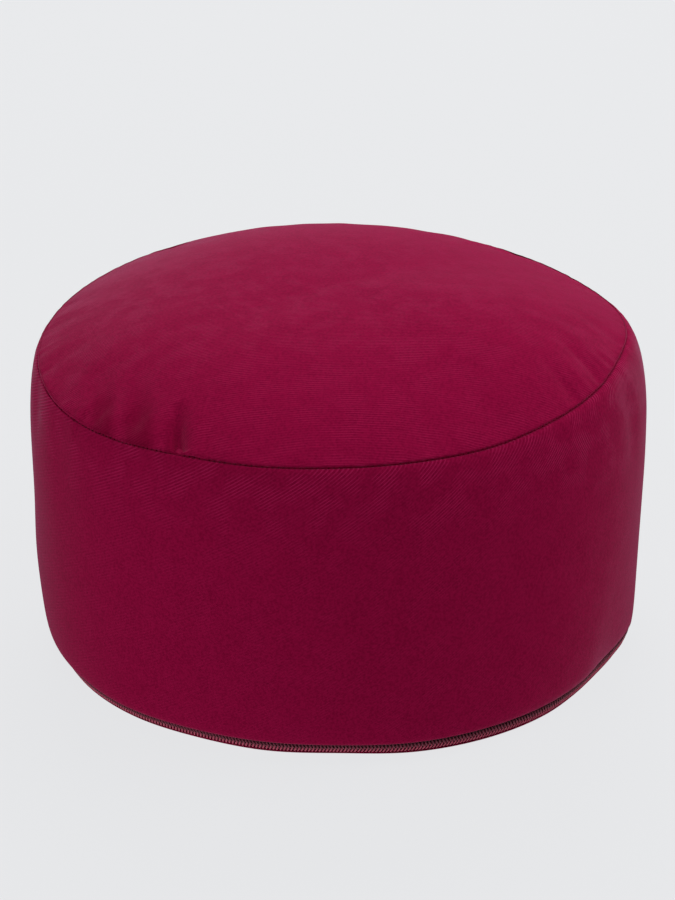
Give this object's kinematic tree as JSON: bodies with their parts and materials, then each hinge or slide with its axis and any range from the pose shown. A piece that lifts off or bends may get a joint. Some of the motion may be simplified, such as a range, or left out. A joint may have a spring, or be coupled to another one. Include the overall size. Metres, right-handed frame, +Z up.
{
  "type": "zafu meditation cushion",
  "caption": "Round, firmly filled floor cushion with a domed top, bulging side band, flat base and a zip round the bottom edge.",
  "frame": {"origin": "middle of the flat base, on the floor", "axes": "+Z up through the crown; -Y towards the front of the zip, the side seen in the picture; +X to the right seen from the front"},
  "size_m": [0.3079, 0.3075, 0.1897],
  "materials": {
    "cover_twill": "burgundy cotton twill, matt, with a soft pale sheen where it is seen edge on",
    "zip_tape": "dark burgundy woven tape, matt",
    "zip_coil": "dull rose coiled monofilament, slightly glossy",
    "zip_metal": "dark grey die-cast metal, satin"
  },
  "bodies": {
    "root": {"top_panel": "cover_twill", "side_band": "cover_twill", "bottom_panel": "cover_twill", "zip_tape_upper": "zip_tape", "zip_tape_lower": "zip_tape", "zip_coil_upper": "zip_coil", "zip_coil_lower": "zip_coil", "zip_slider": "zip_metal", "zip_pull": "zip_metal"}
  },
  "joints": []
}
